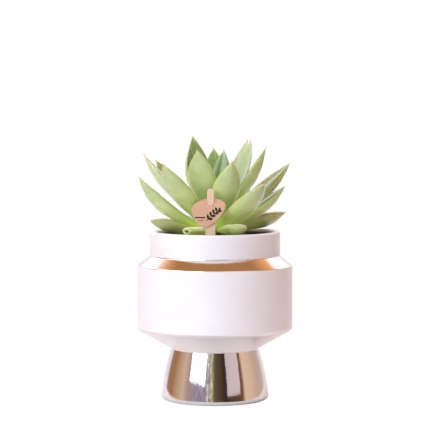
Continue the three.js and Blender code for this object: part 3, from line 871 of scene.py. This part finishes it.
class ECHEVERIA_OT_leaves(bpy.types.Operator):
    """Grows the rosette, each leaf plump and keeled below and slightly hollow above."""

    bl_idname = "echeveria.leaves"
    bl_label = "Leaves"

    def execute(self, context):
        material = succulent_skin(context.scene.echeveria_plant)
        random = np.random.default_rng(SEED)
        for index, row in enumerate(LEAVES):
            self.grow(index, row, material, random)
        return {"FINISHED"}

    def grow(self, index, row, material, random):
        """Shapes one leaf along X, in mm, then sets it on the stem and colours it."""
        azimuth, tilt, length, width, bend, roll = row
        end = LEAF_ENDS.get(index + 1, "pointed")
        age = index / (len(LEAVES) - 1)
        height = LEAF_LOWEST + (STEM_HEIGHT - LEAF_LOWEST) * age**1.3
        thickness = width * (LEAF_THICKNESS[0] + (LEAF_THICKNESS[1] - LEAF_THICKNESS[0]) * age)
        lean = math.radians(tilt)
        under = LEAF_BASE_SHARE * (1 - LEAF_UPPER_SHARE) * thickness
        over = LEAF_BASE_SHARE * LEAF_UPPER_SHARE * thickness
        out = stem_radius(height - under * math.cos(lean)) + LEAF_GAP + over * math.sin(lean)
        out, length = out - LEAF_ROOT, length + LEAF_ROOT

        points, rise, across = self.blade(length, width, thickness, bend, roll, end, random)
        # The ends are closed by a fan round a middle point each.
        start, finish = points[:LEAF_SIDES].mean(0), points[-LEAF_SIDES:].mean(0)
        if end == "pointed":
            finish = np.array([length, finish[1], finish[2]])
        points = np.vstack([points, start, finish])
        rings = (len(points) - 2) // LEAF_SIDES
        last = (rings - 1) * LEAF_SIDES
        faces = []
        for i in range(rings - 1):
            for k in range(LEAF_SIDES):
                n = (k + 1) % LEAF_SIDES
                first, second = i * LEAF_SIDES, (i + 1) * LEAF_SIDES
                faces.append((first + k, first + n, second + n, second + k))
        for k in range(LEAF_SIDES):
            n = (k + 1) % LEAF_SIDES
            faces.append((len(points) - 2, n, k))
            faces.append((len(points) - 1, last + k, last + n))

        place = (
            Matrix.Translation((STEM_LOW + STEM_HIGH) / 2)
            @ Matrix.Rotation(math.radians(azimuth), 4, "Z")
            @ Matrix.Translation((out * MM, 0, height * MM))
            @ Matrix.Rotation(-lean, 4, "Y")
            @ Matrix.Scale(MM, 4)
        )
        swollen = [p + np.array([0, 0, 0.22 * soft_noise(p, 9, index + 1)]) for p in points]
        vertices = [place @ Vector(p) for p in swollen]
        node = f"leaf_{index + 1:02d}"
        piece = smooth_piece(
            f"echeveria_{node}", vertices, faces, [material], [node]
        )
        piece.visible_glossy = False  # nothing green shows in the lustre

        along = np.clip(points[:, 0] / length, 0, 1) * LEAF_COLOUR_RUN[end]
        sides = np.concatenate([np.tile(rise, rings), [0, 0]])
        if end != "pointed":
            sides = -np.abs(sides)
        edges = np.concatenate([np.tile(across, rings), [0, 1]])
        dry = np.zeros(len(points))
        if end == "cut":
            dry[-2 - 2 * LEAF_SIDES : -2 - LEAF_SIDES] = 0.5
            dry[-2 - LEAF_SIDES : -2] = 1
            dry[-1] = 1
        # Leaves to the right at the back, on the side away from the key light, take an olive tint
        # as painted shade, and the tapered one takes it too.
        takes_olive_tint = azimuth % 360 < 90 or end == "tapered"
        olive_share = abs(math.cos(math.radians(azimuth))) if takes_olive_tint else 0.0
        tint = 0.3 * random.random() + 0.6 * olive_share
        if index + 1 in PALE_LEAVES:
            tint = -1.0
        numbers = (along, sides, edges, np.full(len(points), tint), dry)
        for name, values in zip(LEAF_NUMBERS, numbers):
            set_attribute(piece, name, values)

    def blade(self, length, width, thickness, bend, roll, end, random):
        """Points of the leaf's rings, and each ring's share up from and out to the edges."""
        share = 1 - (1 - np.linspace(0, 1, LEAF_RINGS)) ** 1.5
        half = smooth_curve(LEAF_OUTLINES[end], share) * width / 2
        around = np.linspace(0, 2 * math.pi, LEAF_SIDES, endpoint=False)
        u, rise = np.cos(around), np.sin(around)
        t = share[:, None]
        fullness = half[:, None] / (width / 2)
        # The old short leaves are plump above as well as below.
        plump = 0.0 if end == "pointed" else 1.0
        lower = (1 - LEAF_UPPER_SHARE) * thickness * fullness * (1 + 0.1 * plump)
        upper = (LEAF_UPPER_SHARE + 0.25 * plump) * thickness * fullness
        belly = (np.clip(1 - u * u, 0, 1)) ** 0.56
        keel = 0.07 * np.clip((t - 0.45) / 0.4, 0, 1) * np.exp(-((u / 0.2) ** 2))
        hollow = (0.75 - 0.65 * plump) * np.clip(t / 0.25, 0, 1) * np.exp(-((u / 0.5) ** 2))
        z = np.where(rise > 0, upper * (belly - hollow), -lower * (belly + keel))
        y = half[:, None] * u
        x = t * length + 0 * u
        # No two leaves grow quite straight.
        skew, twist = random.uniform(-0.012, 0.012), random.uniform(-0.12, 0.12)
        turn = -math.radians(roll) * np.clip(t / 0.3, 0, 1) + twist * (t - 0.3)
        y, z = y * np.cos(turn) - z * np.sin(turn), y * np.sin(turn) + z * np.cos(turn)
        y = y + skew * length * 4 * t * (1 - t)
        z = z + 4 * bend / 100 * length * t * (t - 1)
        points = np.stack([x, y, z], -1).reshape(-1, 3)
        if end == "cut":
            # The dried cut end sinks in, in three rings of these widths and depths.
            last = points[-LEAF_SIDES:]
            centre = last.mean(0)
            for shrink, dip in [(0.9, -0.1), (0.6, 0.35), (0.25, 0.5)]:
                ring = centre + (last - centre) * shrink
                ring[:, 0] -= dip
                points = np.vstack([points, ring])
        return points, rise, np.abs(u)


class ECHEVERIA_OT_pick(bpy.types.Operator):
    """Punches the wooden pick, narrow where it passes through the label."""

    bl_idname = "echeveria.pick"
    bl_label = "Wooden Pick"

    def execute(self, context):
        s = context.scene.echeveria_label
        low, high = PICK_LOW, PICK_HIGH
        middle = (low + high) / 2
        wide, narrow = (high.x - low.x) / 2, PICK_TONGUE_HALF
        shoulder = high.z - PICK_TONGUE
        loop = [(-wide, low.z), (wide, low.z), (wide, shoulder - (wide - narrow))]
        loop.append((narrow, shoulder))
        for angle in np.linspace(0, math.pi, 25):
            side, up = narrow * math.cos(angle), narrow * math.sin(angle)
            loop.append((side, high.z - narrow + up))
        loop += [(-narrow, shoulder), (-wide, shoulder - (wide - narrow))]
        mesh = bmesh.new()
        mesh.faces.new([mesh.verts.new((x + middle.x, low.y, z)) for x, z in loop])
        thicken(mesh, high.y - low.y)
        sharp = [e for e in mesh.edges if e.calc_face_angle(0) > 0.5]
        bmesh.ops.bevel(
            mesh, geom=sharp, offset=0.22 * MM, segments=3, affect="EDGES", profile=0.5
        )
        flat_piece(
            "birch_pick", mesh, [birch_veneer(s.wood_colour)], ["wooden_pick"]
        )
        return {"FINISHED"}


def card_depth(z):
    """How far the card's middle lies behind the pick's middle, at a height in metres. The card is
    in front of the pick below its slot and behind it above."""
    slot = LABEL_HIGH.z - 3.7 * MM
    return 1.35 * MM * math.tanh((z - slot) / (1.6 * MM))


class ECHEVERIA_OT_label(bpy.types.Operator):
    """Cuts the card label, threads it over the pick, and prints a plain sprig on it."""

    bl_idname = "echeveria.label"
    bl_label = "Card Label"

    def execute(self, context):
        s = context.scene.echeveria_label
        pick = (PICK_LOW + PICK_HIGH) / 2
        mesh = self.card(pick.x)
        bmesh.ops.translate(mesh, vec=(0, -s.card_thickness / 2, 0), verts=mesh.verts)
        thicken(mesh, s.card_thickness)
        for vert in mesh.verts:
            vert.co.y += pick.y + card_depth(vert.co.z)
        materials = [kraft_card(s.card_colour), scorched_edge()]
        piece = flat_piece("kraft_label", mesh, materials, ["card_label"])
        for face in piece.data.polygons:
            face.material_index = 1 if abs(face.normal.y) < 0.5 else 0
        self.print_sprig(pick.y - s.card_thickness / 2)
        return {"FINISHED"}

    def card(self, slot_x):
        """The card laid flat, with its slot and with rows of points where it will bend."""
        low, high = LABEL_LOW, LABEL_HIGH
        outline = np.array(closed_curve(LABEL_CORNERS, 8))
        shares = (outline - outline.min(0)) / np.ptp(outline, axis=0)
        loop = [(low.x + x * (high.x - low.x), low.z + z * (high.z - low.z)) for x, z in shares]
        left, right = slot_x - LABEL_SLOT_HALF, slot_x + LABEL_SLOT_HALF
        top, bottom = high.z - LABEL_SLOT_TOP, high.z - LABEL_SLOT_BOTTOM
        slot = [(left, bottom), (right, bottom), (right, top), (left, top)]
        mesh = bmesh.new()
        for ring in (loop, slot):
            corners = [mesh.verts.new((x, 0, z)) for x, z in ring]
            for first, second in zip(corners, corners[1:] + corners[:1]):
                mesh.edges.new((first, second))
        bmesh.ops.triangle_fill(mesh, use_beauty=True, edges=mesh.edges[:])
        for k in range(1, LABEL_BENDS):
            row = {"plane_co": (0, 0, low.z + k * 0.5 * MM), "plane_no": (0, 0, 1)}
            parts = mesh.verts[:] + mesh.edges[:] + mesh.faces[:]
            bmesh.ops.bisect_plane(mesh, geom=parts, dist=1e-7, **row)
        bmesh.ops.remove_doubles(mesh, verts=mesh.verts, dist=0.01 * MM)
        return mesh

    def print_sprig(self, card_front):
        """Flat ink shapes: a bent twig with paired leaves, and two short rules."""
        steps = np.linspace(0, 1, 9)
        twig = [Vector((-1.4 + 9.4 * t, -6.0 + 10.2 * t - 2.4 * t * t)) for t in steps]
        shapes = []
        for first, second in zip(twig, twig[1:]):
            side = (second - first).orthogonal().normalized() * SPRIG_TWIG_HALF
            shapes.append([first - side, second - side, second + side, first + side])
        for at, turn in SPRIG_BLADES:
            last = at == SPRIG_BLADES[-1][0]
            long, wide = SPRIG_END_BLADE_SIZE if last else SPRIG_BLADE_SIZE
            along = Vector((math.cos(math.radians(turn)), math.sin(math.radians(turn))))
            across = along.orthogonal()
            middle = [twig[at] + along * long * t for t in steps]
            bulge = [across * wide * math.sin(math.pi * t) ** 0.8 for t in steps]
            blade = [point + out for point, out in zip(middle, bulge)]
            blade += [point - out for point, out in zip(middle, bulge)][-2:0:-1]
            shapes.append(blade)
        for x0, x1, z0, z1 in PRINT_RULES:
            shapes.append([Vector(p) for p in [(x0, z0), (x1, z0), (x1, z1), (x0, z1)]])
        centre = (LABEL_LOW + LABEL_HIGH) / 2
        mesh = bmesh.new()
        for shape in shapes:
            corners = []
            for p in shape:
                z = centre.z + p.y * MM
                y = card_front + card_depth(z) - 0.03 * MM
                corners.append(mesh.verts.new((centre.x + p.x * MM, y, z)))
            mesh.faces.new(corners)
        thicken(mesh, 0.06 * MM)
        flat_piece("label_print", mesh, [scorched_print()])


class ECHEVERIA_OT_stage(bpy.types.Operator):
    """Sets up the pale floor, the room that the lustre mirrors, the lights and the camera."""

    bl_idname = "echeveria.stage"
    bl_label = "Studio"

    def execute(self, context):
        self.camera(context)
        self.floor(context)
        self.room(context)
        for name, row in SOFTBOXES.items():
            self.softbox(context, name, *row)
        context.scene.view_settings.view_transform = "Standard"
        return {"FINISHED"}

    def camera(self, context):
        """A long lens from the front, looking down a little on the soil."""
        data = bpy.data.cameras.new("camera")
        data.lens = CAMERA_LENS
        data.sensor_width = 36
        data.clip_start, data.clip_end = 0.05, 20
        camera = bpy.data.objects.new("camera", data)
        context.scene.collection.objects.link(camera)
        back, up = math.cos(CAMERA_DROP), math.sin(CAMERA_DROP)
        camera.location = (0, -CAMERA_DISTANCE * back, CAMERA_AIM + CAMERA_DISTANCE * up)
        camera.rotation_euler = (math.pi / 2 - CAMERA_DROP, 0, 0)
        context.scene.camera = camera

    def floor(self, context):
        """A matt pale floor, plain white where it is seen directly. It is narrow, because the
        lustre mirrors it."""
        data = bpy.data.meshes.new("floor")
        wide, deep = 0.27, 1.5
        corners = [(-wide, -deep, 0), (wide, -deep, 0), (wide, deep, 0), (-wide, deep, 0)]
        data.from_pydata(corners, [], [(0, 1, 2, 3)])
        material, tree, shader = new_material("pale_floor")
        feed(tree, shader, {"Base Color": linear("dadbe2"), "Roughness": 0.9})
        white = add(tree, "ShaderNodeEmission", {"Color": (1, 1, 1, 1), "Strength": 1.0})
        seen = add(tree, "ShaderNodeLightPath").outputs["Is Camera Ray"]
        mixed = add(tree, "ShaderNodeMixShader", {"Fac": seen, 1: shader, 2: white})
        output = next(n for n in tree.nodes if n.type == "OUTPUT_MATERIAL")
        feed(tree, output, {"Surface": mixed})
        data.materials.append(material)
        floor = bpy.data.objects.new("floor", data)
        context.scene.collection.objects.link(floor)
        floor.location.z = -0.1 * MM

    def softbox(self, context, name, azimuth, elevation, distance, size, power, colour, mirrored):
        """A rectangular light aimed at the pot."""
        data = bpy.data.lights.new(name, "AREA")
        data.shape = "RECTANGLE"
        data.size, data.size_y = size
        data.energy = power
        data.color = linear(colour)[:3]
        light = bpy.data.objects.new(name, data)
        context.scene.collection.objects.link(light)
        turn, rise = math.radians(azimuth), math.radians(elevation)
        level = math.cos(rise)
        away = Vector((math.sin(turn) * level, -math.cos(turn) * level, math.sin(rise)))
        light.location = away * distance + Vector((0, 0, SOFTBOX_AIM))
        light.rotation_euler = away.to_track_quat("Z", "Y").to_euler()
        light.visible_glossy = mirrored

    def room(self, context):
        """A brown room in front of the pot and a pale backdrop behind it, for reflections and
        fill. Directly seen it is plain white."""
        world = bpy.data.worlds.new("studio")
        context.scene.world = world
        world.use_nodes = True
        tree = world.node_tree
        tree.nodes.clear()
        way = add(tree, "ShaderNodeTexCoord").outputs["Generated"]
        right, back, up = add(tree, "ShaderNodeSeparateXYZ", {"Vector": way}).outputs
        front = add(tree, "ShaderNodeMath", {0: back, 1: -1.0}, operation="MULTIPLY")
        climb = add(tree, "ShaderNodeMath", {0: up}, operation="ARCSINE")
        walls = self.walls(tree, way, right, front)

        # What each part of the room follows, from where to where it comes in, and how far
        reaches = {
            "below_zenith": (climb, math.radians(80), math.radians(74), 1.0),
            "ceiling": (climb, math.radians(34), math.radians(42), 1.0),
            "rim_height": (climb, math.radians(13), math.radians(26), 1.0),
            "left_height": (climb, math.radians(26), math.radians(38), 1.0),
            "ahead": (front, 0.05, 0.15, 1.0),
            "left": (right, -0.45, -0.55, 1.0),
            "behind": (back, 0.7, 0.95, 0.1),
            "rim_side": (back, 0.35, 0.6, 1.0),
        }
        shares = {}
        for key, (value, low, high, most) in reaches.items():
            change = {"Value": value, "From Min": low, "From Max": high, "To Max": most}
            shares[key] = add(tree, "ShaderNodeMapRange", change)
        steps = [
            ("lamp_side", "MAXIMUM", "ahead", "left"),
            ("lit_ceiling", "MULTIPLY", "below_zenith", "lamp_side"),
            ("rim_light", "MULTIPLY", "rim_height", "rim_side"),
            ("left_light", "MULTIPLY", "left_height", "left"),
            ("lights", "MAXIMUM", "rim_light", "left_light"),
        ]
        for key, operation, one, other in steps:
            pair = {0: shares[one], 1: shares[other]}
            shares[key] = add(tree, "ShaderNodeMath", pair, operation=operation)
        colours = {"Factor": shares["lit_ceiling"], 6: linear("b07c50"), 7: linear("f4eef0")}
        ceiling = add(tree, "ShaderNodeMix", colours, data_type="RGBA").outputs[2]
        colours = {"Factor": shares["ceiling"], 6: walls, 7: ceiling}
        room = add(tree, "ShaderNodeMix", colours, data_type="RGBA").outputs[2]
        raised = {0: shares["lights"], 1: 1.3, 2: 1.0}
        glow = add(tree, "ShaderNodeMath", raised, operation="MULTIPLY_ADD")
        strength = add(tree, "ShaderNodeMath", {0: shares["behind"], 1: glow}, operation="ADD")
        lit = add(tree, "ShaderNodeBackground", {"Color": room, "Strength": strength})
        white = add(tree, "ShaderNodeBackground", {"Color": (1, 1, 1, 1), "Strength": 1.0})
        seen = add(tree, "ShaderNodeLightPath").outputs["Is Camera Ray"]
        mixed = add(tree, "ShaderNodeMixShader", {"Fac": seen, 1: lit, 2: white})
        add(tree, "ShaderNodeOutputWorld", {"Surface": mixed})

    def walls(self, tree, way, right, front):
        """The colour of the walls in their bands, with the lamps that glint in some of them."""
        azimuth = add(tree, "ShaderNodeMath", {0: right, 1: front}, operation="ARCTAN2")
        circle = {"Value": azimuth, "From Min": -math.pi, "From Max": math.pi}
        turn = add(tree, "ShaderNodeMapRange", circle)
        wall, strip = (
            add(tree, "ShaderNodeValToRGB", {"Fac": turn}, [((a + 180) / 360, c) for a, c in bands])
            for bands in (ROOM_BANDS, GLINT_BANDS)
        )
        glints = add(tree, "ShaderNodeTexNoise", {"Vector": way, "Scale": 26, "Detail": 3})
        bright = {"Value": glints, "From Min": 0.42, "From Max": 0.66, "To Min": 0.4, "To Max": 2.6}
        spots = add(tree, "ShaderNodeMapRange", bright)
        spotted = add(tree, "ShaderNodeVectorMath", {0: wall, "Scale": spots}, operation="SCALE")
        colours = {"Factor": strip, 6: wall, 7: spotted}
        return add(tree, "ShaderNodeMix", colours, data_type="RGBA").outputs[2]


class ECHEVERIA_PT_sidebar(bpy.types.Panel):
    """Lists the pieces and their settings."""

    bl_label = "Echeveria"
    bl_idname = "ECHEVERIA_PT_sidebar"
    bl_space_type = "VIEW_3D"
    bl_region_type = "UI"
    bl_category = "Echeveria"

    def draw(self, context):
        for operator in OPERATORS:
            self.layout.operator(operator.bl_idname)
        for name, group in SETTINGS.items():
            box = self.layout.box()
            for key in group.__annotations__:
                box.prop(getattr(context.scene, name), key)


SETTINGS = {
    "echeveria_pot": PotSettings,
    "echeveria_plant": PlantSettings,
    "echeveria_label": LabelSettings,
}
OPERATORS = [
    ECHEVERIA_OT_pot,
    ECHEVERIA_OT_nursery_pot,
    ECHEVERIA_OT_soil,
    ECHEVERIA_OT_stem,
    ECHEVERIA_OT_leaves,
    ECHEVERIA_OT_pick,
    ECHEVERIA_OT_label,
    ECHEVERIA_OT_stage,
]


def register():
    for group in [*SETTINGS.values(), *OPERATORS, ECHEVERIA_PT_sidebar]:
        bpy.utils.register_class(group)
    for name, group in SETTINGS.items():
        setattr(bpy.types.Scene, name, bpy.props.PointerProperty(type=group))


def unregister():
    for name in SETTINGS:
        delattr(bpy.types.Scene, name)
    for group in [ECHEVERIA_PT_sidebar, *reversed(OPERATORS), *SETTINGS.values()]:
        bpy.utils.unregister_class(group)


def main():
    register()
    for operator in OPERATORS:
        family, name = operator.bl_idname.split(".")
        getattr(getattr(bpy.ops, family), name)()


if __name__ == "__main__":
    main()
